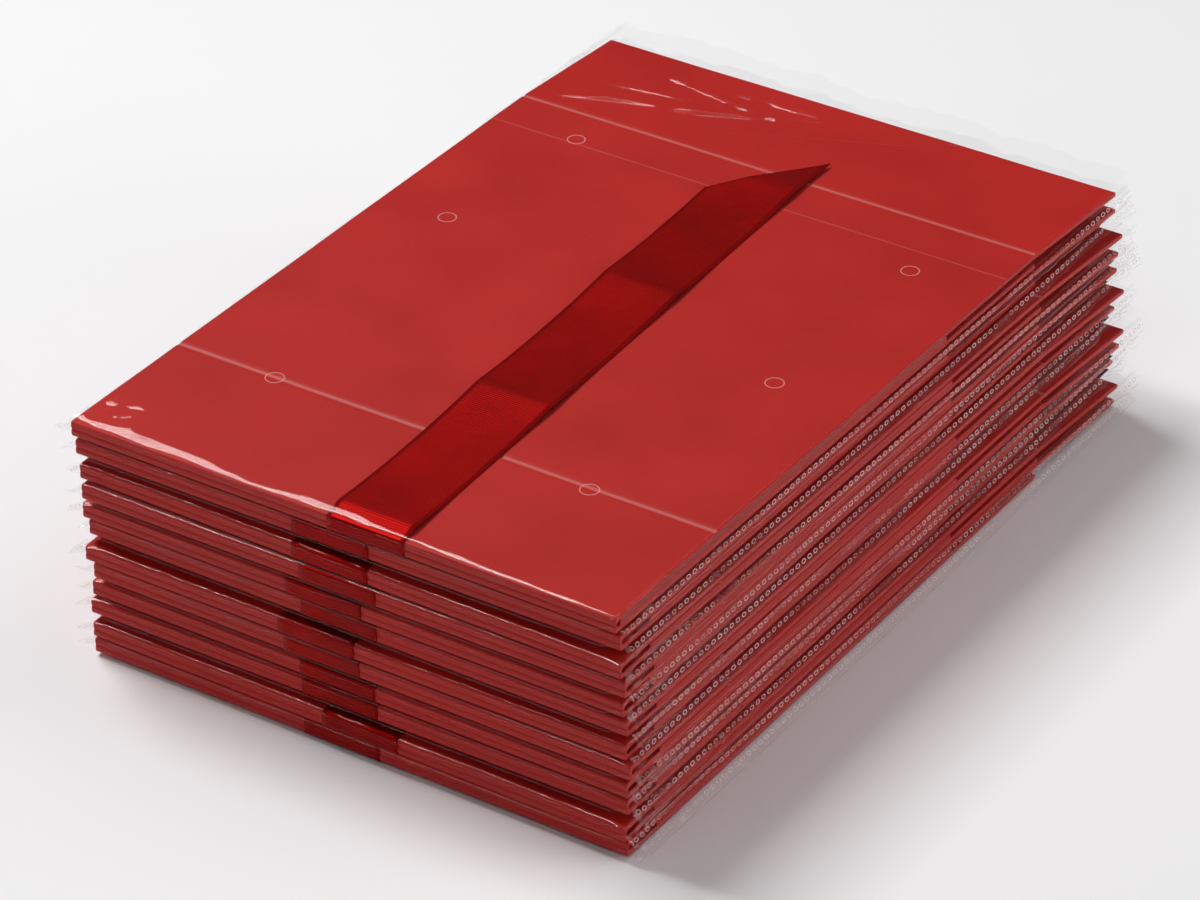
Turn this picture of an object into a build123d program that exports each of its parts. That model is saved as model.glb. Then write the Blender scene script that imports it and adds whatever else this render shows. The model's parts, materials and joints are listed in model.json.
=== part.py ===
"""A stack of flat-packed folding gift boxes, each in its own clear film sleeve with its own ribbon.

One pack, from the floor up: film, ribbon run, base leaf (base board and front wall board), the two side
walls folded inwards over the base, top leaf (spine, lid and flap boards), ribbon run, film.
X runs along the hinge edge, Y from the hinge edge to the flap, Z up. Millimetres.
"""

from build123d import *
import os
from math import cos, pi, radians, sin, tan

os.makedirs("parts", exist_ok=True)

# Driving dimensions of the box
box_width = 270.0  # along the hinge edge
box_depth = 265.0  # base and lid, from hinge to front
wall_height = 75.0  # spine, front wall, side walls and flap
board_thick = 1.9
paper_thick = 0.2
glue_gap = 0.05  # between a board and the paper round it
hinge_gap = 3.0  # bare paper between two boards, where the box folds
turn_in = 15.0  # paper turned over a free edge
score_dip = 0.5  # how far the paper sinks between two boards
nose_radius = 1.2  # paper round the hinge edge
nose_groove = 0.8  # crease at mid height of the hinge edge
fold_lap = 0.5  # how far the flap's turned edges run back past its fold
nest_gap = 0.1  # base lining to a folded side wall
tape_gap = 0.25  # folded side wall to the lid's lining
flap_droop = 3.2  # degrees that the unsupported flap hangs down

# Closure
magnet_radius = 5.0
magnet_thick = 1.5
magnet_spacing = 180.0
magnet_drop = 55.0  # from the lid's front edge down the front wall
pocket_gap = 0.1
tape_width = 12.0
tape_thick = 0.15
tape_inset = 4.0

# Ribbon
ribbon_width = 38.0
ribbon_thick = 0.4
ribbon_skew = 2.5  # degrees that the top run leans towards -X
ribbon_top_run = 310.0  # hinge edge to the near corner of the cut end
ribbon_tip = 50.0  # extra length at the far corner of the cut end
ribbon_under_run = 300.0

# Sleeve
film_thick = 0.2
slide_gap = 0.4  # box and ribbon to film, above and below
side_gap = 0.8  # box to film at the long edges
end_gap = 0.6  # ribbon to film at the hinge edge
mouth_overhang = 14.0  # film past the flap, at the open end
seam_width = 7.0
seam_thick = 0.4
weld_gap = 0.02  # between two panels of one sleeve
vent_radius = 3.8
vent_points = ((-83.0, 73.0), (-99.0, 225.0), (-90.0, 316.0), (76.0, 72.0), (96.0, 184.0), (97.0, 296.0))

# Stack: each tuple runs from the bottom pack up and repeats if there are more packs
pack_count = 12
pack_gap = 0.35
pack_shift = (3.0, 3.0, 2.0, 2.0, 5.0, 2.0, 2.0, 0.0, 2.0, 0.0, -2.0, -3.0)  # along X
ribbon_shift = (-6.0, 3.0, -6.0, -8.0, -17.0, -16.0, -7.0, -11.0, -4.0, -8.0, -5.0, 15.0)
pack_slip = 1.5  # largest slip along Y
pack_turn = 0.3  # largest turn about Z, degrees

# Places along Y
score_front = wall_height
score_back = wall_height + box_depth
box_length = box_depth + 2 * wall_height
board_start = nose_radius + 1.0
wall_end = box_depth - hinge_gap

# Levels of one pack, from its underside up
ribbon_low = film_thick + slide_gap
cover_low = ribbon_low + ribbon_thick + glue_gap
base_level = cover_low + paper_thick + glue_gap
lining_low = base_level + board_thick + glue_gap
wall_level = lining_low + paper_thick + nest_gap
wall_cover = wall_level + board_thick + glue_gap
lining_high = wall_cover + paper_thick + tape_gap
lid_level = lining_high + paper_thick + glue_gap
cover_high = lid_level + board_thick + glue_gap + paper_thick
ribbon_high = cover_high + glue_gap
film_high = ribbon_high + ribbon_thick + slide_gap
pack_height = film_high + film_thick
pack_pitch = pack_height + pack_gap

# Half widths across X
board_half = box_width / 2 - paper_thick - glue_gap
turn_half = box_width / 2 - turn_in
sleeve_inner = box_width / 2 + side_gap
sleeve_outer = sleeve_inner + film_thick
seam_outer = sleeve_outer + seam_width
sleeve_near = -(glue_gap + ribbon_thick + end_gap)
sleeve_mouth = box_length + mouth_overhang


def slip(step):
    """Slip along Y and turn about Z of the pack that lies step packs below the top one."""
    return pack_slip * sin(1.7 * step), pack_turn * sin(2.3 * step)


def pack_corners():
    """Plan corners of every sleeve, before the stack is centred."""
    corners = []
    for number in range(1, pack_count + 1):
        along, turn = slip(pack_count - number)
        across = pack_shift[(number - 1) % len(pack_shift)]
        for x in (-seam_outer, seam_outer):
            for y in (sleeve_near - film_thick, sleeve_mouth):
                spot = Vector(x, y, 0).rotate(Axis.Z, turn)
                corners.append((spot.X + across, spot.Y + along))
    return corners


corners_x = [corner[0] for corner in pack_corners()]
corners_y = [corner[1] for corner in pack_corners()]
centre_x = (min(corners_x) + max(corners_x)) / 2
centre_y = (min(corners_y) + max(corners_y)) / 2


def pack_plane(number):
    """Plan plane of one pack: origin at the middle of its hinge edge, on its underside."""
    along, turn = slip(pack_count - number)
    across = pack_shift[(number - 1) % len(pack_shift)]
    origin = (across - centre_x, along - centre_y, (number - 1) * pack_pitch)
    return Plane(origin=origin, x_dir=Vector(1, 0, 0).rotate(Axis.Z, turn), z_dir=(0, 0, 1))


def side_plane(plane):
    """Section plane of a pack: sketch x is the pack's Y, sketch y is Z."""
    return Plane(origin=plane.origin, x_dir=plane.y_dir, z_dir=plane.x_dir)


def flap_plane(plane, level):
    """Plane of the drooping flap, hinged at the back score, at a level of the top leaf."""
    droop = radians(flap_droop)
    base = plane.offset(lining_high)
    origin = base.origin + plane.y_dir * score_back
    normal = plane.y_dir * sin(droop) + plane.z_dir * cos(droop)
    return Plane(origin=origin, x_dir=plane.x_dir, z_dir=normal).offset(level - lining_high)


def flap_point(reach, level):
    """Section point on the flap: reach past the hinge, at a level of the top leaf."""
    droop = radians(flap_droop)
    rise = level - lining_high
    return (
        score_back + reach * cos(droop) + rise * sin(droop),
        lining_high - reach * sin(droop) + rise * cos(droop),
    )


def quarter(centre, radius, start):
    """Points of a quarter turn, clockwise from a start angle in degrees."""
    steps = 5
    angles = [radians(start - 90 * step / steps) for step in range(steps + 1)]
    return [(centre[0] + radius * cos(a), centre[1] + radius * sin(a)) for a in angles]


def band(path, thick):
    """Closed outline of a sheet along a path, its thickness on the right-hand side, mitred."""
    inner = []
    for index, point in enumerate(path):
        here = Vector(*point)
        before = Vector(*path[max(index - 1, 0)])
        after = Vector(*path[min(index + 1, len(path) - 1)])
        first = (here - before) if index else (after - here)
        last = (after - here) if index < len(path) - 1 else first
        first, last = first.normalized(), last.normalized()
        right = Vector(first.Y, -first.X) + Vector(last.Y, -last.X)
        right = right.normalized()
        reach = thick / right.dot(Vector(first.Y, -first.X))
        inner.append(here + right * reach)
    return [Vector(*point) for point in path] + inner[::-1]


def add_panel(plane, level, x_span, y_span, thick):
    """Adds a flat panel to the current part."""
    with BuildSketch(plane.offset(level)) as panel:
        with Locations(((x_span[0] + x_span[1]) / 2, (y_span[0] + y_span[1]) / 2)):
            Rectangle(x_span[1] - x_span[0], y_span[1] - y_span[0])
    extrude(panel.sketch, amount=thick)


def add_section(plane, outline, x_span):
    """Adds a prism of a section outline to the current part."""
    with BuildSketch(side_plane(plane).offset(x_span[0])) as section:
        with BuildLine():
            Polyline(*outline, close=True)
        make_face()
    extrude(section.sketch, amount=x_span[1] - x_span[0])


def save(builder, name):
    builder.part.label = name
    export_step(builder.part, f"parts/{name}.step")


# Boards. Each function adds one board of a pack to the current part.
def add_base(plane):
    span = (board_start, box_depth - hinge_gap / 2)
    add_panel(plane, base_level, (-board_half, board_half), span, board_thick)


def add_front_wall(plane):
    span = (box_depth + hinge_gap / 2, score_back - paper_thick - glue_gap)
    add_panel(plane, base_level, (-board_half, board_half), span, board_thick)


def add_side_wall(plane, side):
    edge = sorted((side * board_half, side * (box_width / 2 - wall_height + paper_thick + glue_gap)))
    add_panel(plane, wall_level, edge, (board_start + hinge_gap, wall_end), board_thick)


def add_spine(plane):
    span = (board_start, score_front - hinge_gap / 2)
    add_panel(plane, lid_level, (-board_half, board_half), span, board_thick)


def add_lid(plane):
    span = (score_front + hinge_gap / 2, score_back - hinge_gap / 2)
    add_panel(plane, lid_level, (-board_half, board_half), span, board_thick)


def add_flap(plane):
    span = (hinge_gap / 2, wall_height - paper_thick - glue_gap)
    add_panel(flap_plane(plane, lid_level), 0, (-board_half, board_half), span, board_thick)


def add_cover(plane):
    """Cover paper: one sheet round both leaves and the hinge edge, and over the folded side walls."""
    middle = (cover_low + cover_high) / 2
    wall_top = lining_low + paper_thick
    outside = [(score_back - turn_in, wall_top), (score_back, wall_top), (score_back, cover_low)]
    outside += quarter((nose_radius, cover_low + nose_radius), nose_radius, 270)
    outside += [(0, middle - nose_groove), (nose_groove, middle), (0, middle + nose_groove)]
    outside += quarter((nose_radius, cover_high - nose_radius), nose_radius, 180)
    dip_half = hinge_gap / 2 - glue_gap
    outside += [(score_front - dip_half, cover_high), (score_front, cover_high - score_dip)]
    outside += [(score_front + dip_half, cover_high), (score_back - dip_half, cover_high)]
    outside += [flap_point(0, cover_high - score_dip), flap_point(dip_half, cover_high)]
    outside += [flap_point(wall_height, cover_high), flap_point(wall_height, lining_high)]
    outside += [flap_point(wall_height - turn_in, lining_high)]
    half = box_width / 2
    add_section(plane, band(outside, paper_thick), (-half, half))
    for side in (-1, 1):
        skin = sorted((side * half, side * (half - paper_thick)))
        edge = sorted((side * half, side * turn_half))
        fold = sorted((side * half, side * (half - wall_height)))
        tuck = sorted((side * (half - wall_height), side * (half - wall_height + paper_thick)))
        wall_span = (board_start, wall_end + paper_thick)
        # lower leaf: edge of the base with its folded side wall, then edge of the front wall
        wall_high = wall_cover + paper_thick
        add_panel(plane, cover_low, skin, wall_span, wall_high - cover_low)
        add_panel(plane, wall_cover, fold, wall_span, paper_thick)
        add_panel(plane, wall_level, tuck, wall_span, wall_high - wall_level)
        add_panel(plane, cover_low, skin, (wall_end, score_back), wall_top - cover_low)
        add_panel(plane, lining_low, edge, (box_depth, score_back), paper_thick)
        # top leaf: turned edges of the spine and lid, then of the flap
        flap_low = flap_plane(plane, lining_high)
        add_panel(plane, lining_high, skin, (board_start, score_back), cover_high - lining_high)
        add_panel(plane, lining_high, edge, (board_start, score_back), paper_thick)
        add_panel(flap_low, 0, skin, (-fold_lap, wall_height), cover_high - lining_high)
        add_panel(flap_low, 0, edge, (-fold_lap, wall_height), paper_thick)


def add_lower_lining(plane):
    """Lining of the base, edge to edge, and of the front wall, between the turned edges of the cover."""
    middle = box_depth - glue_gap
    add_panel(plane, lining_low, (-board_half, board_half), (board_start, middle), paper_thick)
    inner = turn_half - glue_gap
    span = (middle, score_back - turn_in - glue_gap)
    add_panel(plane, lining_low, (-inner, inner), span, paper_thick)


def add_upper_lining(plane):
    """Lining of the spine, lid and flap, between the turned edges of the cover."""
    inner = turn_half - glue_gap
    path = [flap_point(wall_height - turn_in - glue_gap, lining_high), (score_back, lining_high)]
    path += [(board_start, lining_high)]
    add_section(plane, band(path, paper_thick), (-inner, inner))


def add_ribbon(plane, number):
    """Ribbon: under the base leaf, round the hinge edge, then a skewed top run with a slanting end."""
    middle = ribbon_shift[(number - 1) % len(ribbon_shift)]
    half = ribbon_width / 2
    bend = nose_radius + glue_gap + ribbon_thick
    out = -(glue_gap + ribbon_thick)
    path = [(ribbon_under_run, ribbon_low)]
    path += quarter((out + bend, ribbon_low + bend), bend, 270)
    path += quarter((out + bend, ribbon_high + ribbon_thick - bend), bend, 180)
    path += [(nose_radius + 1.0, ribbon_high + ribbon_thick)]
    add_section(plane, band(path, ribbon_thick), (middle - half, middle + half))
    lean = tan(radians(ribbon_skew))
    start = nose_radius
    near = ribbon_top_run
    far = ribbon_top_run + ribbon_tip
    with BuildSketch(plane.offset(ribbon_high)) as top_run:
        with BuildLine():
            Polyline(
                (middle - half, start),
                (middle + half, start),
                (middle + half - lean * near, near),
                (middle + half - lean * far, far),
                (middle - half - lean * near, near),
                close=True,
            )
        make_face()
    extrude(top_run.sketch, amount=ribbon_thick)


def add_sleeve(plane):
    """Sleeve: upper film with its vent holes, lower film, hinge edge fold and two welded side seams."""
    mouth = sleeve_mouth
    near = sleeve_near - film_thick
    low = film_thick + weld_gap
    high = film_high - weld_gap
    add_panel(plane, 0, (-sleeve_outer, sleeve_outer), (near, mouth), film_thick)
    with BuildSketch(plane.offset(film_high)) as upper_film:
        with Locations((0, (near + mouth) / 2)):
            Rectangle(2 * sleeve_outer, mouth - near)
        with Locations(*vent_points):
            Circle(vent_radius, mode=Mode.SUBTRACT)
    extrude(upper_film.sketch, amount=film_thick)
    add_panel(plane, low, (-sleeve_outer, sleeve_outer), (near, sleeve_near), high - low)
    seam_level = (pack_height - seam_thick) / 2
    for side in (-1, 1):
        wall = sorted((side * sleeve_inner, side * sleeve_outer))
        seam = sorted((side * sleeve_inner, side * seam_outer))
        add_panel(plane, low, wall, (sleeve_near + weld_gap, mouth), high - low)
        add_panel(plane, seam_level, seam, (sleeve_near + weld_gap, mouth), seam_thick)


# Packs below the top one: four nodes each
for number in range(1, pack_count):
    plane = pack_plane(number)

    with BuildPart() as boards:
        add_base(plane)
        add_front_wall(plane)
        add_side_wall(plane, -1)
        add_side_wall(plane, 1)
        add_spine(plane)
        add_lid(plane)
        add_flap(plane)
    save(boards, f"boards_{number:02d}")

    with BuildPart() as papers:
        add_cover(plane)
        add_lower_lining(plane)
        add_upper_lining(plane)
    save(papers, f"papers_{number:02d}")

    with BuildPart() as ribbon:
        add_ribbon(plane, number)
    save(ribbon, f"ribbon_{number:02d}")

    with BuildPart() as sleeve:
        add_sleeve(plane)
    save(sleeve, f"sleeve_{number:02d}")


# Top pack: every piece in its own node
top = pack_plane(pack_count)
magnet_points = [(-magnet_spacing / 2, magnet_drop), (magnet_spacing / 2, magnet_drop)]
plate_points = [(x, score_back - y) for x, y in magnet_points]

with BuildPart() as base_board:
    add_base(top)
save(base_board, "base_board")

with BuildPart() as front_wall_board:
    add_front_wall(top)
    with BuildSketch(top.offset(base_level)):
        with Locations(*plate_points):
            Circle(magnet_radius + pocket_gap)
    extrude(amount=board_thick, mode=Mode.SUBTRACT)
save(front_wall_board, "front_wall_board")

with BuildPart() as left_wall_board:
    add_side_wall(top, -1)
save(left_wall_board, "left_wall_board")

with BuildPart() as right_wall_board:
    add_side_wall(top, 1)
save(right_wall_board, "right_wall_board")

with BuildPart() as spine_board:
    add_spine(top)
save(spine_board, "spine_board")

with BuildPart() as lid_board:
    add_lid(top)
save(lid_board, "lid_board")

with BuildPart() as flap_board:
    add_flap(top)
    with BuildSketch(flap_plane(top, lid_level)):
        with Locations(*magnet_points):
            Circle(magnet_radius + pocket_gap)
    extrude(amount=board_thick, mode=Mode.SUBTRACT)
save(flap_board, "flap_board")

with BuildPart() as cover_paper:
    add_cover(top)
save(cover_paper, "cover_paper")

with BuildPart() as lower_lining:
    add_lower_lining(top)
save(lower_lining, "lower_lining")

with BuildPart() as upper_lining:
    add_upper_lining(top)
save(upper_lining, "upper_lining")

with BuildPart() as flap_magnets:
    with BuildSketch(flap_plane(top, lid_level)):
        with Locations(*magnet_points):
            Circle(magnet_radius)
    extrude(amount=magnet_thick)
save(flap_magnets, "flap_magnets")

with BuildPart() as wall_plates:
    with BuildSketch(top.offset(base_level)):
        with Locations(*plate_points):
            Circle(magnet_radius)
    extrude(amount=magnet_thick)
save(wall_plates, "wall_plates")

with BuildPart() as corner_tapes:
    tape_x = board_half - tape_inset - tape_width / 2
    tape_levels = (
        (lining_low + paper_thick, box_depth + tape_inset, score_back - tape_inset),
        (lining_high - tape_thick, board_start + tape_inset, score_front - tape_inset),
    )
    for level, start, end in tape_levels:
        for side in (-1, 1):
            span = (side * tape_x - tape_width / 2, side * tape_x + tape_width / 2)
            add_panel(top, level, span, (start, end), tape_thick)
save(corner_tapes, "corner_tapes")

with BuildPart() as top_ribbon:
    add_ribbon(top, pack_count)
save(top_ribbon, f"ribbon_{pack_count:02d}")

with BuildPart() as top_sleeve:
    add_sleeve(top)
save(top_sleeve, f"sleeve_{pack_count:02d}")
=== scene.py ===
"""Looks for a stack of flat-packed gift boxes in clear film sleeves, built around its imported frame.

Shapes are worked out in millimetres in a pack's own plan: x across the hinge edge from its middle,
y from the hinge edge to the flap, z up from the sleeve's underside. to_stack() puts them in the frame.
"""

import json
import math

import bmesh
import bpy
import numpy as np
from bpy.props import FloatProperty, FloatVectorProperty, PointerProperty
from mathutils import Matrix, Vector


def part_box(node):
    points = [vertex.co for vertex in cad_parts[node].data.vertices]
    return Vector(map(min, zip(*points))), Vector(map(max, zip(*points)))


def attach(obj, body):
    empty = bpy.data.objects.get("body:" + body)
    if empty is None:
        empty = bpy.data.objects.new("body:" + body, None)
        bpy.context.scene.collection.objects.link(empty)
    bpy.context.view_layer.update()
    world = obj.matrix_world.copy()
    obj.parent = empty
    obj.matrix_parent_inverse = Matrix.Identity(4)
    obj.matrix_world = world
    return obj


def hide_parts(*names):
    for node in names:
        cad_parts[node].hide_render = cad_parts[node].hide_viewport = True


bl_info = {
    "name": "Gift Box Stack",
    "version": (1, 0, 0),
    "blender": (4, 5, 0),
    "location": "3D View > Sidebar > Gift Boxes",
    "description": "Builds a stack of folded gift boxes with ribbons and film sleeves around its frame",
    "category": "Add Mesh",
}

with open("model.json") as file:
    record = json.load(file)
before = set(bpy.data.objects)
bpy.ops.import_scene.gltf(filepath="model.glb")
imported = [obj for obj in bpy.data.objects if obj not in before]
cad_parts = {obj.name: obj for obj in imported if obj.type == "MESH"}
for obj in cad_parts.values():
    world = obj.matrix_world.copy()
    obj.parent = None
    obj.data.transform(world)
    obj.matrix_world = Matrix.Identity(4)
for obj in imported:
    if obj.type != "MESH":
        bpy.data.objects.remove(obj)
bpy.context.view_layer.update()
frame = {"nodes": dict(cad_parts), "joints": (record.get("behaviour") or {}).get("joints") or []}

MM = 0.001
PACKS = sum(name.startswith("sleeve_") for name in frame["nodes"])
JOINTS = {joint["name"]: joint for joint in frame["joints"]}

# Plan of one box, the same sizes as its boards
BOX_WIDTH = 270.0
WALL_HEIGHT = 75.0
BOX_DEPTH = 265.0
SCORE_FRONT = WALL_HEIGHT
SCORE_BACK = WALL_HEIGHT + BOX_DEPTH
BOX_LENGTH = BOX_DEPTH + 2 * WALL_HEIGHT
FLAP_DROOP = math.radians(3.2)
HALF = BOX_WIDTH / 2

# Levels of one pack above its sleeve's underside
LEAF_THICK = 2.4
COVER_LOW = 1.05
COVER_HIGH = 8.4
LOWER_INNER = COVER_LOW + LEAF_THICK
UPPER_INNER = COVER_HIGH - LEAF_THICK - 0.05
WALL_LOW, WALL_HIGH = 3.55, 5.7

# Pale lines painted on the cover paper along the two fold lines, and a painted highlight of a crease 26 mm
# before the back fold: place along the plan, half width, share of the pale colour
PALE_LINES = ((SCORE_FRONT, 1.0, 0.34), (SCORE_BACK, 1.0, 0.34), (SCORE_BACK - 26, 0.5, 0.14))

# The hinge edge's turn, where the leaves' inner faces start, and how far in a pack's lean fades out
NOSE_RADIUS = 1.2
INNER_START = 2.4
LEAN_LENGTH = 50.0

# Sleeve plan
FILM_NEAR = -1.1
FILM_MOUTH = 429.0
FILM_MIDDLE = (FILM_NEAR - 0.15 + FILM_MOUTH) / 2
FILM_HALF = 136.0
SEAM_WIDTH = 7.0
FOLD_PLAN = 7.0
FILM_LOW, FILM_HIGH = -0.1, 9.5
SEAM_LEVEL = 4.7
FOLD_LEVEL = 1.3
VENTS = ((-83.0, 73.0), (-99.0, 225.0), (-90.0, 316.0), (76.0, 72.0), (96.0, 184.0), (97.0, 296.0))

# Weld dots: how far out on the seam, and half their length and width
WELD_OUT = 3.6
WELD_HALF_SIZE = (1.55, 0.95)


# ---- settings

def linear(hex_code):
    """An sRGB hex colour as linear values with alpha 1."""
    values = [int(hex_code[i:i + 2], 16) / 255 for i in (0, 2, 4)]
    return [v / 12.92 if v <= 0.04045 else ((v + 0.055) / 1.055) ** 2.4 for v in values] + [1.0]


def length(name, millimetres, description):
    return FloatProperty(name=name, description=description, default=millimetres * MM, unit="LENGTH")


def colour(name, hex_code, description):
    return FloatVectorProperty(name=name, description=description, subtype="COLOR", size=3,
                               default=linear(hex_code)[:3])


class BoxSettings(bpy.types.PropertyGroup):
    edge_radius: length("Edge radius", 0.6, "Rounding of a paper-covered edge")
    score_depth: length("Score depth", 0.5, "How far the paper sinks at a fold line")
    nip: length("Nip", 0.7, "How far a box leans to the other of its pair at the hinge edge")
    paper_red: colour("Paper red", "b21a13", "Colour of the cover paper")


class RibbonSettings(bpy.types.PropertyGroup):
    width: length("Width", 38, "Width of the ribbon")
    thickness: length("Thickness", 0.35, "Thickness of the ribbon")
    wave: length("Wave", 2.0, "How high the top run rises at its creases")
    ribbon_red: colour("Ribbon red", "920300", "Colour of the ribbon")


class FilmSettings(bpy.types.PropertyGroup):
    mouth_flare: length("Mouth flare", 2.0, "How far the top sheet's open end flutters")
    weld_pitch: length("Weld pitch", 4.7, "Distance between two weld dots")
    vent_radius: length("Vent radius", 3.8, "Radius of a vent hole")


class StageSettings(bpy.types.PropertyGroup):
    focal: FloatProperty(name="Focal length", description="Lens of the camera, on a 36 mm wide sensor",
                         default=155.5, min=1.0)
    azimuth: FloatProperty(name="Azimuth", description="Camera's turn round the stack from its hinge edges",
                           default=math.radians(32.96), subtype="ANGLE")
    elevation: FloatProperty(name="Elevation", description="Camera's height angle",
                             default=math.radians(32.28), subtype="ANGLE")
    camera_place: FloatVectorProperty(name="Camera place", description="Where the camera stands",
                                      subtype="XYZ", size=3, default=(1.0419, -1.6300, 1.2579))
    floor_tone: FloatProperty(name="Floor tone", description="Brightness of the paper floor",
                              default=0.91, min=0.0, max=1.0)


class StackSettings(bpy.types.PropertyGroup):
    box: PointerProperty(type=BoxSettings)
    ribbon: PointerProperty(type=RibbonSettings)
    film: PointerProperty(type=FilmSettings)
    stage: PointerProperty(type=StageSettings)


def settings():
    return bpy.context.scene.gift_stack


# ---- the stack's plan

def pack_place(number):
    """Origin (middle of the hinge edge, on the underside) and turn of one pack, from its CAD sleeve."""
    low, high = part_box(f"sleeve_{number:02d}")
    axis = JOINTS[f"draw_{number:02d}"]["axis"]
    turn = math.atan2(-axis[0], axis[1])
    x = (low[0] + high[0]) / 2 + math.sin(turn) * FILM_MIDDLE * MM
    y = (low[1] + high[1]) / 2 - math.cos(turn) * FILM_MIDDLE * MM
    return x, y, low[2], turn


def to_stack(points, number):
    """Local millimetres of a pack to metres in the frame: turn about z, then shift."""
    x0, y0, z0, turn = pack_place(number)
    x, y, z = points[..., 0] * MM, points[..., 1] * MM, points[..., 2] * MM
    cos, sin = math.cos(turn), math.sin(turn)
    return np.stack([x0 + x * cos - y * sin, y0 + x * sin + y * cos, z0 + z], axis=-1)


def ribbon_shift(number):
    """Middle of a ribbon at the hinge edge, in the pack's own x, from the CAD ribbon's right-hand edge."""
    x0, _, _, turn = pack_place(number)
    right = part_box(f"ribbon_{number:02d}")[1][0]
    return (right - x0) / math.cos(turn) / MM - settings().ribbon.width / MM / 2


def lean(number):
    """How far a pack's hinge edge leans up or down: packs lie in pairs that nip together there."""
    nip = settings().box.nip / MM
    if number == PACKS:
        return 0.0
    return nip if number % 2 else -nip


def nose_fade(y):
    """1 at the hinge edge, falling as a parabola to 0 at the lean's length."""
    return np.clip(1 - np.asarray(y, float) / LEAN_LENGTH, 0, 1) ** 2


# ---- mesh tools

MERGE = 1e-6


def quads(rows, columns, wrap=False, flip=False):
    """Corner numbers of a grid's quads, as an array; wrap joins the last column to the first."""
    across = np.arange(columns if wrap else columns - 1)
    down = np.arange(rows - 1)[:, None]
    a = down * columns + across
    b = down * columns + (across + 1) % columns
    faces = np.stack([a, b, b + columns, a + columns], axis=-1).reshape(-1, 4)
    return faces[:, ::-1] if flip else faces


def join_grids(grids):
    """Stacks (points, faces, uv) grids into one set of arrays."""
    verts, faces, uvs, start = [], [], [], 0
    for points, quad, uv in grids:
        flat = points.reshape(-1, 3)
        verts.append(flat)
        faces.append(quad + start)
        uvs.append(uv.reshape(-1, 2))
        start += len(flat)
    return np.concatenate(verts), np.concatenate(faces), np.concatenate(uvs)


def add_piece(name, grids, finish, body, outward=True):
    """Makes one mesh object from grids, closes its doubled edges, turns it outwards and puts it on a body."""
    verts, faces, uvs = join_grids(grids)
    mesh = bpy.data.meshes.new(name)
    mesh.from_pydata(verts, [], faces)
    layer = mesh.uv_layers.new(name="plan")
    layer.data.foreach_set("uv", uvs[faces.reshape(-1)].astype(np.float32).reshape(-1))
    mesh.materials.append(get_material(finish))
    bm = bmesh.new()
    bm.from_mesh(mesh)
    bmesh.ops.remove_doubles(bm, verts=bm.verts, dist=MERGE)
    bmesh.ops.dissolve_degenerate(bm, edges=bm.edges, dist=MERGE)
    if outward:
        bmesh.ops.recalc_face_normals(bm, faces=bm.faces)
    bm.to_mesh(mesh)
    bm.free()
    mesh.polygons.foreach_set("use_smooth", np.ones(len(mesh.polygons), bool))
    mesh.update()
    piece = bpy.data.objects.new(name, mesh)
    bpy.context.collection.objects.link(piece)
    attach(piece, body)
    return piece


def squircle(angle, power=0.5):
    """Corner of a rounded square: sine and cosine of the angle, each raised to a power under one."""
    return np.abs(np.sin(angle)) ** power, np.abs(np.cos(angle)) ** power


def smooth_step(value, start, end):
    """0 below start, 1 above end, and a cubic ease between them."""
    t = np.clip((value - start) / (end - start), 0, 1)
    return t * t * (3 - 2 * t)


def smooth_noise(t, rng, waves, longest):
    """Sum of sines with random phases, each shorter and lower than the one before; about -1 to 1."""
    total = np.zeros_like(np.asarray(t, float))
    for index in range(waves):
        length = longest / 1.7 ** index
        total += np.sin(2 * np.pi * t / length + rng.uniform(0, 2 * np.pi)) / 1.35 ** index
    return total / 2.2


def crumple(x, y, rng, folds, pitch):
    """Sum of triangular waves in random directions, which meets in sharp creases like crushed film."""
    total = np.zeros_like(x)
    for _ in range(folds):
        angle = rng.uniform(0, np.pi)
        length = pitch * rng.uniform(0.6, 1.8)
        phase = (x * np.cos(angle) + y * np.sin(angle)) / length + rng.uniform(0, 1)
        total += np.abs((phase % 1) * 2 - 1) - 0.5
    return total / folds * 2


# ---- materials

# Kinds of node that are used often
MATH, VECTOR, RANGE, MIX = "ShaderNodeMath", "ShaderNodeVectorMath", "ShaderNodeMapRange", "ShaderNodeMix"
SPLIT, NOISE, BUMP = "ShaderNodeSeparateXYZ", "ShaderNodeTexNoise", "ShaderNodeBump"
UV_MAP, GEOMETRY = "ShaderNodeUVMap", "ShaderNodeNewGeometry"
PRINCIPLED, MIX_SHADERS = "ShaderNodeBsdfPrincipled", "ShaderNodeMixShader"

# The values between which a noise texture nearly always stays
NOISE_SPAN = {"From Min": 0.3, "From Max": 0.7}


def node(tree, kind, inputs=None, out=0, **values):
    """Adds a node, sets its attributes, sets or links its inputs by name or number, and gives an output."""
    made = tree.nodes.new(kind)
    for key, value in values.items():
        setattr(made, key, value)
    for key, value in (inputs or {}).items():
        socket = made.inputs[key]
        if isinstance(value, bpy.types.NodeSocket):
            tree.links.new(value, socket)
        else:
            socket.default_value = value
    return made.outputs[out] if made.outputs else None


def new_material(name):
    material = bpy.data.materials.new(name)
    material.use_nodes = True
    material.node_tree.nodes.clear()
    return material, material.node_tree


def finish_material(material, shader):
    node(material.node_tree, "ShaderNodeOutputMaterial", {"Surface": shader})
    return material


def mm_coords(tree, scale):
    """Object coordinates turned to units of scale millimetres."""
    place = node(tree, "ShaderNodeTexCoord", out="Object")
    return node(tree, "ShaderNodeMapping", {"Vector": place, "Scale": (1 / (scale * MM),) * 3})


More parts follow.
